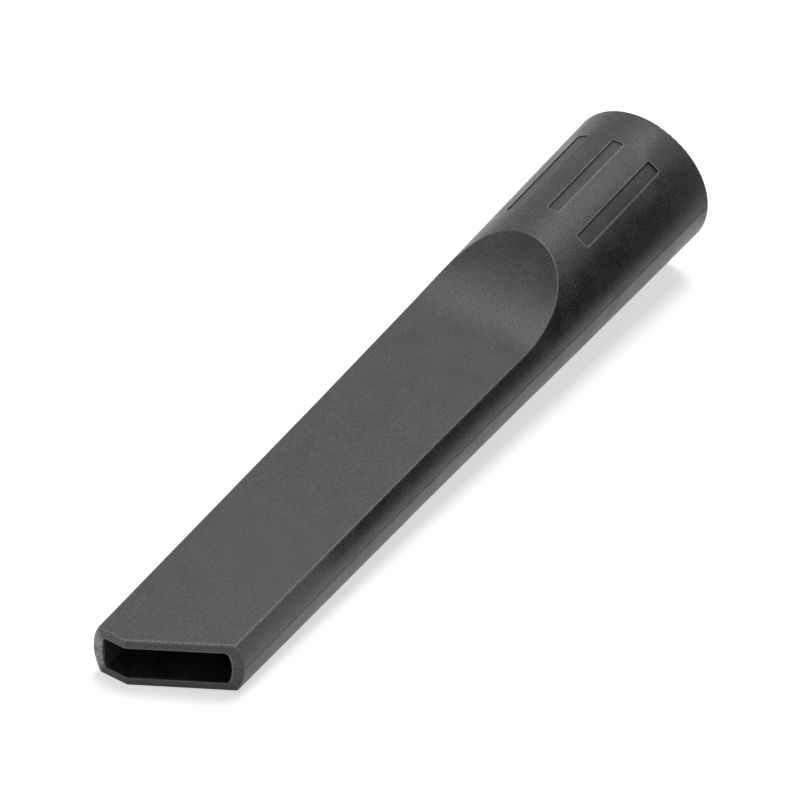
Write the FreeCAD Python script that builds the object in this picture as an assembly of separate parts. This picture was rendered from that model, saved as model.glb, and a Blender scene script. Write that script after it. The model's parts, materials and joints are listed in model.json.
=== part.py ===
import FreeCAD, Part

import math
import os

from FreeCAD import Vector

# A crevice tool moulded as one piece: a tapered round tube, flattened from above and below into
# a slot nozzle, with a round socket at the other end that pushes onto the wand.
# Lengths are in millimetres and angles in degrees.

# Round outside of the body, which tapers from the rim and a little less along the nozzle
overall_length = 200.0
rim_radius = 19.1
socket_draft = 1.08
nozzle_length = 85.0
nozzle_draft = 0.74
edge_radius = 0.4

# Flats above and below, and the scoops that lead from them up to the round socket
tip_height = 14.0
flat_draft = 0.3
scoop_start = 75.0
scoop_radius = 37.0

# Mouth: square across at the nose, then slanted back to the other side
mouth_slant = 29.5
nose_corner_offset = 6.9

# Passage and socket
wall = 2.4
passage_corner_radius = 1.0
bore_radius = 16.0
bore_depth = 45.0
stop_step = 0.8
lead_in = 0.8

# Grip recesses round the socket, three above and three below, which get deeper towards one side
recess_width = 3.0
recess_spacing = 9.9
recess_rim_gap = 10.7
recess_corner_radius = 0.5
outer_recess_length = 31.3
middle_recess_length = 28.5
shallow_recess_depth = 0.2
middle_recess_depth = 0.38
deep_recess_depth = 0.55

# Witness line where the two halves of the mould meet
witness_width = 0.24
witness_depth = 0.12

# How far a cutting shape reaches past what it cuts, and the turn below which an edge is left as it is
overrun = 5.0
smooth_turn = 5.0

# Places that follow from the sizes. The axis is Y, with the rim at zero and the nose at minus Y.
nose_y = -overall_length
neck_y = nose_y + nozzle_length
neck_radius = rim_radius + neck_y * math.tan(math.radians(socket_draft))
tip_radius = neck_radius - nozzle_length * math.tan(math.radians(nozzle_draft))
flat_slope = math.tan(math.radians(flat_draft))
throat_radius = bore_radius - stop_step
mouth_radius = tip_radius - wall
across = Vector(1, 0, 0)
along = Vector(0, 1, 0)
up = Vector(0, 0, 1)
origin = Vector(0, 0, 0)


def round_body(inset):
    """The round outside from nose to rim, or the same shape sunk by the inset."""
    profile = Part.makePolygon([
        Vector(0, nose_y, 0),
        Vector(tip_radius - inset, nose_y, 0),
        Vector(neck_radius - inset, neck_y, 0),
        Vector(rim_radius - inset, 0, 0),
        origin,
        Vector(0, nose_y, 0),
    ])
    return Part.Face(profile).revolve(origin, along, 360)


def flat_height(y):
    """Height of the upper flat above the axis."""
    return tip_height / 2 + (y - nose_y) * flat_slope


def scoop_centre():
    """Centre of the scoop's arc, in the plane of symmetry."""
    draft = math.radians(flat_draft)
    start = Vector(0, -scoop_start, flat_height(-scoop_start))
    return start + Vector(0, -math.sin(draft), math.cos(draft)) * scoop_radius


def above_flat(inset):
    """What lies above the flat and its scoop, which both sink into the body by the inset."""
    centre = scoop_centre()
    radius = scoop_radius + inset
    draft = math.radians(flat_draft)
    inward = Vector(0, math.sin(draft), -math.cos(draft))
    outward_run = Vector(0, -math.cos(draft), -math.sin(draft)) * (overall_length + overrun)
    half_way = math.radians(45 + flat_draft / 2)
    scoop_low = centre + inward * radius
    scoop_middle = centre + Vector(0, math.sin(half_way), -math.cos(half_way)) * radius
    scoop_high = centre + Vector(0, radius, 0)
    flat_end = scoop_low + outward_run
    top_end = Vector(0, flat_end.y, scoop_high.z)
    outline = Part.Wire([
        Part.LineSegment(flat_end, scoop_low).toShape(),
        Part.Arc(scoop_low, scoop_middle, scoop_high).toShape(),
        Part.LineSegment(scoop_high, top_end).toShape(),
        Part.LineSegment(top_end, flat_end).toShape(),
    ])
    half_width = rim_radius + overrun
    outline.translate(Vector(-half_width, 0, 0))
    return Part.Face(outline).extrude(Vector(2 * half_width, 0, 0))


def flattened(tube, inset):
    """A round tube cut down to the two flats and their scoops."""
    upper = above_flat(inset)
    lower = upper.mirror(origin, up)
    return tube.cut([upper, lower])


def mouth_corner():
    """Where the square nose turns into the slanted side of the mouth."""
    return Vector(-nose_corner_offset, nose_y, 0)


def mouth_direction():
    """Direction of the slanted side of the mouth, seen from above."""
    slant = math.radians(mouth_slant)
    return Vector(math.cos(slant), math.sin(slant), 0)


def beyond_mouth():
    """What the slanted side of the mouth cuts away."""
    corner = mouth_corner()
    far_corner = corner + mouth_direction() * (2 * rim_radius / mouth_direction().x)
    clear = Vector(0, nose_y - overrun, 0)
    points = [
        corner,
        far_corner,
        Vector(far_corner.x, clear.y, 0),
        Vector(corner.x, clear.y, 0),
        corner,
    ]
    outline = Part.makePolygon(points)
    height = 2 * rim_radius
    outline.translate(up * (-height / 2))
    return Part.Face(outline).extrude(up * height)


def is_sharp(edge, body):
    """Whether two different faces meet at this edge and don't run smoothly into each other."""
    faces = body.ancestorsOfType(edge, Part.Face)
    if len(faces) < 2 or faces[0].isSame(faces[1]):
        return False
    middle = edge.valueAt((edge.FirstParameter + edge.LastParameter) / 2)
    normals = []
    for face in faces:
        u, v = face.Surface.parameter(middle)
        normals.append(face.normalAt(u, v))
    return math.degrees(normals[0].getAngle(normals[1])) > smooth_turn


def stands_upright(edge):
    """Whether an edge runs straight up, as the mouth's corner and the recesses' corners do."""
    box = edge.BoundBox
    return max(box.XLength, box.YLength) < edge_radius


def outer_body():
    """The solid outside of the tool, with its edges rounded."""
    body = flattened(round_body(0), 0).cut(beyond_mouth())
    edges = [edge for edge in body.Edges if is_sharp(edge, body) and not stands_upright(edge)]
    return body.makeFillet(edge_radius, edges)


def passage():
    """The air passage from the mouth to the stop at the end of the socket."""
    run = overall_length - bore_depth
    taper = (throat_radius - mouth_radius) / run
    start_y = nose_y - overrun
    start_radius = mouth_radius - overrun * taper
    cone = Part.makeCone(start_radius, throat_radius, run + overrun, Vector(0, start_y, 0), along)
    hollow = flattened(cone, wall)
    edges = []
    for edge in hollow.Edges:
        runs_along = edge.BoundBox.YLength > overrun
        if runs_along and is_sharp(edge, hollow):
            edges.append(edge)
    return hollow.makeFillet(passage_corner_radius, edges)


def socket_bore():
    """The straight seat for the wand, with a lead-in at the rim."""
    seat = Part.makeCylinder(bore_radius, bore_depth, Vector(0, -bore_depth, 0), along)
    lead = Part.makeCone(bore_radius, bore_radius + lead_in, lead_in, Vector(0, -lead_in, 0), along)
    return seat.fuse(lead)


def grip_recess(offset, length, depth):
    """One shallow pocket, which is open along the pull of the mould."""
    corner = Vector(offset - recess_width / 2, -recess_rim_gap - length, 0)
    block = Part.makeBox(recess_width, length, rim_radius + overrun, corner)
    corners = [edge for edge in block.Edges if stands_upright(edge)]
    return block.makeFillet(recess_corner_radius, corners).cut(round_body(depth))


def grip_recesses():
    """The pockets round the socket, above and below."""
    above = [
        grip_recess(-recess_spacing, outer_recess_length, shallow_recess_depth),
        grip_recess(0, middle_recess_length, middle_recess_depth),
        grip_recess(recess_spacing, outer_recess_length, deep_recess_depth),
    ]
    return above + [pocket.mirror(origin, up) for pocket in above]


def witness_groove(start, run, outward):
    """A fine V-groove along a straight run on the outside, as deep as the witness line."""
    rise = outward * overrun
    half_width = up * (witness_width / 2 * (1 + overrun / witness_depth))
    root = start - outward * witness_depth
    outline = Part.makePolygon([root, start + rise + half_width, start + rise - half_width, root])
    return Part.Face(outline).extrude(run)


def witness_lines():
    """The witness line down both sides and across both side walls of the mouth."""
    grooves = []
    side = [Vector(tip_radius, nose_y, 0), Vector(neck_radius, neck_y, 0), Vector(rim_radius, 0, 0)]
    for start, end in zip(side, side[1:]):
        groove = witness_groove(start, end - start, across)
        grooves.append(groove)
        grooves.append(groove.mirror(origin, across))
    slant_out = Vector(mouth_direction().y, -mouth_direction().x, 0)
    slanted = witness_groove(mouth_corner(), mouth_direction() * 2 * rim_radius, slant_out)
    square = witness_groove(mouth_corner(), Vector(-2 * rim_radius, 0, 0), along * -1)
    return grooves + [slanted, square]


def rest_pitch():
    """Pitch that lays the tool on its nose and on the crest where the lower scoop ends."""
    draft = math.radians(socket_draft)
    line_start = Vector(0, 0, rim_radius)
    line_direction = Vector(0, math.cos(draft), math.sin(draft))
    from_centre = line_start - scoop_centre()
    half_sum = from_centre.dot(line_direction)
    reach = math.sqrt(half_sum ** 2 - from_centre.dot(from_centre) + scoop_radius ** 2)
    crest = line_start + line_direction * (reach - half_sum)
    return math.degrees(math.atan2(crest.z - tip_height / 2, crest.y - nose_y))


def laid_down(tool):
    """The tool as it lies on a surface, over the middle of its outline."""
    placed = tool.copy()
    placed.rotate(origin, across, rest_pitch())
    box = placed.optimalBoundingBox(False, False)
    placed.translate(Vector(-box.Center.x, -box.Center.y, -box.ZMin))
    return placed


def crevice_tool():
    """The whole tool."""
    body = outer_body().cut([passage(), socket_bore()])
    body = body.cut(grip_recesses())
    body = body.cut(witness_lines())
    return laid_down(body)


os.makedirs("parts", exist_ok=True)
crevice_tool().exportStep("parts/crevice_tool.step")
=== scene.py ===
import json
import math

import bpy
from mathutils import Matrix, Vector

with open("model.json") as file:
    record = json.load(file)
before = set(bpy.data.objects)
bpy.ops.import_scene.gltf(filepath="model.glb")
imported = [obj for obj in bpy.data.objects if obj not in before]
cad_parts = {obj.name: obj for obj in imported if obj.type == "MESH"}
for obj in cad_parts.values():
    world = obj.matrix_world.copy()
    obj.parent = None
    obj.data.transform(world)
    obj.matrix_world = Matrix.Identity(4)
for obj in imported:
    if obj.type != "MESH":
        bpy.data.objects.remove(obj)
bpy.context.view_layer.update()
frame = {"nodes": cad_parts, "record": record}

TOOL = frame["nodes"]["crevice_tool"]
SOCKET = next(m for m in frame["record"]["mounts"] if m["name"] == "socket")

# Lengths are in metres and angles in degrees. The tool's own axes are X across the nozzle, Y along
# the axis towards the socket with zero at the rim, and Z up from the flat.
SEAT_MIDDLE_TO_RIM = 0.0229

# The photograph's camera, in the tool's own axes
VIEW_AZIMUTH = 34.73
VIEW_ELEVATION = 43.23
VIEW_ROLL = -0.71
VIEW_DISTANCE = 1.3
VIEW_LIMIT = 20.0
AIM_FROM_RIM = 0.1
PICTURE_SIZE = 800
PIXELS_PER_METRE = 4352
AIM_PIXEL_RIGHT = 7.35
AIM_PIXEL_DOWN = 15.0
SENSOR_WIDTH = 36.0

# Floor, lamp and surroundings. The floor's lift is added only where the camera or a reflection sees
# the floor, and the surroundings are white there and have this strength as a light.
WHITE = (1, 1, 1, 1)
FLOOR_HALF_SIZE = 6.0
FLOOR_COLOUR = (0.8, 0.8, 0.8, 1)
FLOOR_LIFT = 0.62
SURROUNDINGS = 0.19
SOFTBOX_PLACE = (-0.06, 0.26, 1.23)
SOFTBOX_SIZE = 0.65
SOFTBOX_POWER = 11.6

# Black card that stands beside the nozzle and the socket, rises towards the socket and shows only in
# the reflections of that side
CARD_COLOUR = (0.01, 0.01, 0.01, 1)
CARD_START = (0.036, -0.040)
CARD_END = (0.047, 0.125)
CARD_START_HEIGHT = 0.0196
CARD_END_HEIGHT = 0.069

# Moulded plastic with a fine grain and a slow mottle. A pair named NOISE is the stretch of the noise,
# which runs from zero to one, over which its effect goes from the first value to the second.
NONE_TO_FULL = (0, 1)
FULL_TO_NONE = (1, 0)
PLASTIC_DARK = (0.004, 0.004, 0.0041, 1)
PLASTIC_LIGHT = (0.046, 0.046, 0.0466, 1)
GRAIN_SIZE = 0.0004
GRAIN_DETAIL = 2
GRAIN_NOISE = (0.4, 0.6)
GRAIN_DEPTH = 0.0001
GRAIN_STRENGTH = 0.45
MOTTLE_SIZE = 0.006
MOTTLE_DETAIL = 3
MOTTLE_NOISE = (0.35, 0.65)
MOTTLE_SHADE = (0.4, 0)
ROUGHNESS_NOISE = (0.3, 0.7)
ROUGHNESS = (0.36, 0.46)

# Edges, which are painted lighter as a highlight: most at the nose, and more on the outer edges, which
# lie further above and below the axis, than round the opening. Grooves are painted darker as shade,
# and are rougher. The share of directions that are open tells both from the plain surface.
OPEN_SAMPLES = 8
EDGE_HIGHLIGHT_COLOUR = (0.36, 0.36, 0.36, 1)
EDGE_REACH = 0.00045
EDGE_OPEN = (0.95, 0.8)
EDGE_ALONG = (-0.2, -0.06)
EDGE_ALONG_HIGHLIGHT = (1, 0.35)
EDGE_HEIGHT = (0.005, 0.0065)
EDGE_HEIGHT_HIGHLIGHT = (0.35, 1)
EDGE_NOISE = (0.3, 0.6)
EDGE_NOISE_HIGHLIGHT = (0.4, 1)
GROOVE_REACH = 0.0004
GROOVE_OPEN = (0.97, 0.8)
GROOVE_ROUGHNESS = 0.3

# Grip recesses, whose floors are painted darker as shade: the round outside of the socket, the strips
# across it and the stretch along the axis where they lie, in the tool's own axes. A position that
# keeps only its X and Z is as long as its distance from the axis.
ONLY_X_AND_Z = (1, 0, 1)
RIM_RADIUS = 0.0191
SOCKET_TAPER = math.tan(math.radians(1.08))
RECESS_SPACING = 0.0099
RECESS_HALF_WIDTH = 0.0015
RECESS_START = -0.0422
RECESS_END = -0.0105
RECESS_LEAST_DEPTH = 0.0001
RECESS_MOST_DEPTH = 0.001
RECESS_PAINTED_SHADE = 0.25
RECESS_ROUGHNESS = 0.05

# Scuffed patch on the nose, in the tool's own axes, which fades out round its reach
SCUFF_PLACE = (-0.0146, -0.2, 0)
SCUFF_REACH = (0.0018, 0.0012, 0.0062)
SCUFF_FADE = (0.8, 1.2)
SCUFF_COLOUR = (0.55, 0.55, 0.55, 1)
SCUFF_SPECK = 0.0006
SCUFF_DETAIL = 3
SCUFF_NOISE = (0.35, 0.7)
SCUFF_STRENGTH = (0.15, 1)


def tool_axes():
    """The tool's own axes in the frame, with their origin at the middle of the socket's rim."""
    along = Vector(SOCKET["axis"]).normalized()
    across = Vector((1, 0, 0))
    up = across.cross(along)
    rim = Vector(SOCKET["pos_m"]) + along * SEAT_MIDDLE_TO_RIM
    axes = Matrix((across, along, up)).transposed().to_4x4()
    return Matrix.Translation(rim) @ axes


def make_camera():
    """The camera at the photograph's place."""
    azimuth = math.radians(VIEW_AZIMUTH)
    elevation = math.radians(VIEW_ELEVATION)
    back = Vector((
        math.sin(azimuth) * math.cos(elevation),
        -math.cos(azimuth) * math.cos(elevation),
        math.sin(elevation),
    ))
    level_right = (-back).cross(Vector((0, 0, 1))).normalized()
    level_up = back.cross(level_right)
    roll = math.radians(VIEW_ROLL)
    right = level_right * math.cos(roll) + level_up * math.sin(roll)
    up = back.cross(right)
    aim = Vector((0, -AIM_FROM_RIM, 0))
    sideways = right * (AIM_PIXEL_RIGHT / PIXELS_PER_METRE)
    upwards = up * (AIM_PIXEL_DOWN / PIXELS_PER_METRE)
    place = aim + back * VIEW_DISTANCE - sideways + upwards
    turn = Matrix((right, up, back)).transposed().to_4x4()

    data = bpy.data.cameras.new("camera")
    data.sensor_width = SENSOR_WIDTH
    data.lens = PIXELS_PER_METRE * VIEW_DISTANCE / PICTURE_SIZE * SENSOR_WIDTH
    data.clip_end = VIEW_LIMIT
    camera = bpy.data.objects.new("camera", data)
    camera.matrix_world = tool_axes() @ Matrix.Translation(place) @ turn
    bpy.context.scene.collection.objects.link(camera)
    bpy.context.scene.camera = camera


def new_material(name):
    """An empty node material, with its node tree and its output."""
    material = bpy.data.materials.new(name)
    material.use_nodes = True
    tree = material.node_tree
    tree.nodes.clear()
    return material, tree, tree.nodes.new("ShaderNodeOutputMaterial")


def add_noise(tree, position, size, detail):
    """Noise whose features are about the given size."""
    noise = tree.nodes.new("ShaderNodeTexNoise")
    noise.inputs["Scale"].default_value = 1 / size
    noise.inputs["Detail"].default_value = detail
    tree.links.new(position, noise.inputs["Vector"])
    return noise.outputs["Fac"]


def spread(tree, value, stretch, result):
    """A value brought from one stretch of numbers to another, and held at its ends."""
    node = tree.nodes.new("ShaderNodeMapRange")
    node.inputs["From Min"].default_value = stretch[0]
    node.inputs["From Max"].default_value = stretch[1]
    node.inputs["To Min"].default_value = result[0]
    node.inputs["To Max"].default_value = result[1]
    tree.links.new(value, node.inputs["Value"])
    return node.outputs["Result"]


def calculate(tree, operation, *values):
    """What an operation makes of one or two values, each a socket or a number."""
    node = tree.nodes.new("ShaderNodeMath")
    node.operation = operation
    for socket, value in zip(node.inputs, values):
        if isinstance(value, (int, float)):
            socket.default_value = value
        else:
            tree.links.new(value, socket)
    return node.outputs["Value"]


def change_vector(tree, operation, vector, other):
    """What an operation makes of a vector and three plain numbers."""
    node = tree.nodes.new("ShaderNodeVectorMath")
    node.operation = operation
    node.inputs[1].default_value = other
    tree.links.new(vector, node.inputs[0])
    return node.outputs["Vector"]


def vector_length(tree, vector):
    """The length of a vector."""
    node = tree.nodes.new("ShaderNodeVectorMath")
    node.operation = "LENGTH"
    tree.links.new(vector, node.inputs[0])
    return node.outputs["Value"]


def vector_parts(tree, vector):
    """The X, Y and Z of a vector."""
    node = tree.nodes.new("ShaderNodeSeparateXYZ")
    tree.links.new(vector, node.inputs["Vector"])
    return node.outputs["X"], node.outputs["Y"], node.outputs["Z"]


def mix_colours(tree, factor, first, second):
    """Two colours mixed by a factor, each a socket or a plain colour."""
    mix = tree.nodes.new("ShaderNodeMix")
    mix.data_type = "RGBA"
    tree.links.new(factor, mix.inputs["Factor"])
    for name, colour in (("A", first), ("B", second)):
        if isinstance(colour, tuple):
            mix.inputs[name].default_value = colour
        else:
            tree.links.new(colour, mix.inputs[name])
    return mix.outputs["Result"]


def tool_position(tree):
    """The position in the tool's own axes."""
    coordinates = tree.nodes.new("ShaderNodeTexCoord")
    place = tool_axes().inverted()
    mapping = tree.nodes.new("ShaderNodeMapping")
    mapping.inputs["Location"].default_value = place.to_translation()
    mapping.inputs["Rotation"].default_value = place.to_euler()
    tree.links.new(coordinates.outputs["Object"], mapping.inputs["Vector"])
    return mapping.outputs["Vector"]


def recess_mask(tree, position):
    """One on the floors of the grip recesses and zero elsewhere."""
    across, along, _ = vector_parts(tree, position)
    radius = vector_length(tree, change_vector(tree, "MULTIPLY", position, ONLY_X_AND_Z))
    narrowing = calculate(tree, "MULTIPLY", along, SOCKET_TAPER)
    outside = calculate(tree, "ADD", narrowing, RIM_RADIUS)
    depth = calculate(tree, "SUBTRACT", outside, radius)
    from_middle = calculate(tree, "PINGPONG", across, RECESS_SPACING / 2)
    limits = (
        ("GREATER_THAN", depth, RECESS_LEAST_DEPTH),
        ("LESS_THAN", depth, RECESS_MOST_DEPTH),
        ("GREATER_THAN", along, RECESS_START),
        ("LESS_THAN", along, RECESS_END),
        ("LESS_THAN", from_middle, RECESS_HALF_WIDTH),
    )
    mask = 1
    for operation, value, limit in limits:
        inside = calculate(tree, operation, value, limit)
        mask = calculate(tree, "MULTIPLY", inside, mask)
    return mask


def scuff_mask(tree, position):
    """A mottled patch that fades out round its place on the nose."""
    offset = change_vector(tree, "SUBTRACT", position, SCUFF_PLACE)
    distance = vector_length(tree, change_vector(tree, "DIVIDE", offset, SCUFF_REACH))
    patch = spread(tree, distance, SCUFF_FADE, FULL_TO_NONE)
    specks = add_noise(tree, position, SCUFF_SPECK, SCUFF_DETAIL)
    strength = spread(tree, specks, SCUFF_NOISE, SCUFF_STRENGTH)
    return calculate(tree, "MULTIPLY", patch, strength)


def open_share(tree, inside, reach):
    """The share of the directions into or out of the surface that are open as far as the reach."""
    openness = tree.nodes.new("ShaderNodeAmbientOcclusion")
    openness.inside = inside
    openness.only_local = True
    openness.samples = OPEN_SAMPLES
    openness.inputs["Distance"].default_value = reach
    return openness.outputs["AO"]


def edge_highlight_mask(tree, position, grain):
    """Up to one along the edges, where a highlight is painted, most at the nose and on the outer ones,
    broken up by the grain.
    """
    mask = spread(tree, open_share(tree, True, EDGE_REACH), EDGE_OPEN, NONE_TO_FULL)
    _, along, above = vector_parts(tree, position)
    height = calculate(tree, "ABSOLUTE", above)
    shares = (
        spread(tree, along, EDGE_ALONG, EDGE_ALONG_HIGHLIGHT),
        spread(tree, height, EDGE_HEIGHT, EDGE_HEIGHT_HIGHLIGHT),
        spread(tree, grain, EDGE_NOISE, EDGE_NOISE_HIGHLIGHT),
    )
    for share in shares:
        mask = calculate(tree, "MULTIPLY", mask, share)
    return mask


def groove_mask(tree):
    """Up to one in the witness lines and at the foot of the recesses' walls, where shade is painted.
    """
    return spread(tree, open_share(tree, False, GROOVE_REACH), GROOVE_OPEN, NONE_TO_FULL)


def plastic_material():
    """Black moulded plastic with a fine spark-eroded grain."""
    material, tree, output = new_material("moulded_plastic")
    shader = tree.nodes.new("ShaderNodeBsdfPrincipled")
    position = tool_position(tree)
    grain = add_noise(tree, position, GRAIN_SIZE, GRAIN_DETAIL)
    mottle = add_noise(tree, position, MOTTLE_SIZE, MOTTLE_DETAIL)
    recess = recess_mask(tree, position)
    groove = groove_mask(tree)

    speckle = spread(tree, grain, GRAIN_NOISE, NONE_TO_FULL)
    colour = mix_colours(tree, speckle, PLASTIC_DARK, PLASTIC_LIGHT)
    cloud = spread(tree, mottle, MOTTLE_NOISE, MOTTLE_SHADE)
    # Painted shade on the floors of the grip recesses.
    recess_painted_shade = calculate(tree, "MULTIPLY", recess, RECESS_PAINTED_SHADE)
    layers = (
        (cloud, PLASTIC_DARK),
        (recess_painted_shade, PLASTIC_DARK),
        # Painted highlight: the edges are lightened towards a pale grey.
        (edge_highlight_mask(tree, position, grain), EDGE_HIGHLIGHT_COLOUR),
        (scuff_mask(tree, position), SCUFF_COLOUR),
        # Painted shade in the witness lines and at the foot of the recesses' walls.
        (groove, PLASTIC_DARK),
    )
    for mask, layer in layers:
        colour = mix_colours(tree, mask, colour, layer)
    tree.links.new(colour, shader.inputs["Base Color"])

    roughness = spread(tree, mottle, ROUGHNESS_NOISE, ROUGHNESS)
    for mask, rougher in ((recess, RECESS_ROUGHNESS), (groove, GROOVE_ROUGHNESS)):
        added = calculate(tree, "MULTIPLY", mask, rougher)
        roughness = calculate(tree, "ADD", roughness, added)
    tree.links.new(roughness, shader.inputs["Roughness"])

    bump = tree.nodes.new("ShaderNodeBump")
    bump.inputs["Strength"].default_value = GRAIN_STRENGTH
    bump.inputs["Distance"].default_value = GRAIN_DEPTH
    tree.links.new(grain, bump.inputs["Height"])
    tree.links.new(bump.outputs["Normal"], shader.inputs["Normal"])
    tree.links.new(shader.outputs["BSDF"], output.inputs["Surface"])
    return material


def seen_directly(tree):
    """One for rays from the camera and for reflected or transmitted rays, and zero for the rest."""
    path = tree.nodes.new("ShaderNodeLightPath").outputs
    passed_on = calculate(tree, "MAXIMUM", path["Is Glossy Ray"], path["Is Transmission Ray"])
    return calculate(tree, "MAXIMUM", path["Is Camera Ray"], passed_on)


def floor_material():
    """A pale floor that keeps the shadow and looks white to the camera and in reflections."""
    material, tree, output = new_material("pale_floor")
    matt = tree.nodes.new("ShaderNodeBsdfDiffuse")
    matt.inputs["Color"].default_value = FLOOR_COLOUR
    glow = tree.nodes.new("ShaderNodeEmission")
    glow.inputs["Color"].default_value = WHITE
    strength = calculate(tree, "MULTIPLY", seen_directly(tree), FLOOR_LIFT)
    tree.links.new(strength, glow.inputs["Strength"])
    both = tree.nodes.new("ShaderNodeAddShader")
    tree.links.new(matt.outputs["BSDF"], both.inputs[0])
    tree.links.new(glow.outputs["Emission"], both.inputs[1])
    tree.links.new(both.outputs["Shader"], output.inputs["Surface"])
    return material


def card_material():
    """Matt black."""
    material, tree, output = new_material("black_card")
    matt = tree.nodes.new("ShaderNodeBsdfDiffuse")
    matt.inputs["Color"].default_value = CARD_COLOUR
    tree.links.new(matt.outputs["BSDF"], output.inputs["Surface"])
    return material


def add_stage(name, corners, material):
    """A flat four-cornered piece of the stage."""
    mesh = bpy.data.meshes.new(name)
    mesh.from_pydata(corners, [], [(0, 1, 2, 3)])
    mesh.materials.append(material)
    piece = bpy.data.objects.new(name, mesh)
    bpy.context.scene.collection.objects.link(piece)
    return piece


def make_floor():
    """The floor that the tool lies on."""
    half = FLOOR_HALF_SIZE
    corners = [(-half, -half, 0), (half, -half, 0), (half, half, 0), (-half, half, 0)]
    add_stage("floor", corners, floor_material())


def make_card():
    """The black card, which casts no shadow and shows only in reflections."""
    corners = [
        (*CARD_START, 0),
        (*CARD_END, 0),
        (*CARD_END, CARD_END_HEIGHT),
        (*CARD_START, CARD_START_HEIGHT),
    ]
    card = add_stage("black_card", corners, card_material())
    card.visible_camera = False
    card.visible_shadow = False
    card.visible_diffuse = False


def make_softbox():
    """The soft lamp above the tool, which faces it."""
    data = bpy.data.lights.new("softbox", "AREA")
    data.shape = "SQUARE"
    data.size = SOFTBOX_SIZE
    data.energy = SOFTBOX_POWER
    lamp = bpy.data.objects.new("softbox", data)
    lamp.location = SOFTBOX_PLACE
    lamp.rotation_euler = (-Vector(SOFTBOX_PLACE)).to_track_quat("-Z", "Y").to_euler()
    bpy.context.scene.collection.objects.link(lamp)


def make_surroundings():
    """White to the camera and in reflections, and dimmer as a light."""
    world = bpy.data.worlds.new("surroundings")
    world.use_nodes = True
    tree = world.node_tree
    sky = tree.nodes["Background"]
    sky.inputs["Color"].default_value = WHITE
    strength = spread(tree, seen_directly(tree), NONE_TO_FULL, (SURROUNDINGS, 1))
    tree.links.new(strength, sky.inputs["Strength"])
    bpy.context.scene.world = world


def main():
    bpy.context.scene.view_settings.view_transform = "Standard"
    make_camera()
    plastic = plastic_material()
    for slot in TOOL.material_slots:
        slot.material = plastic
    make_floor()
    make_card()
    make_softbox()
    make_surroundings()


main()
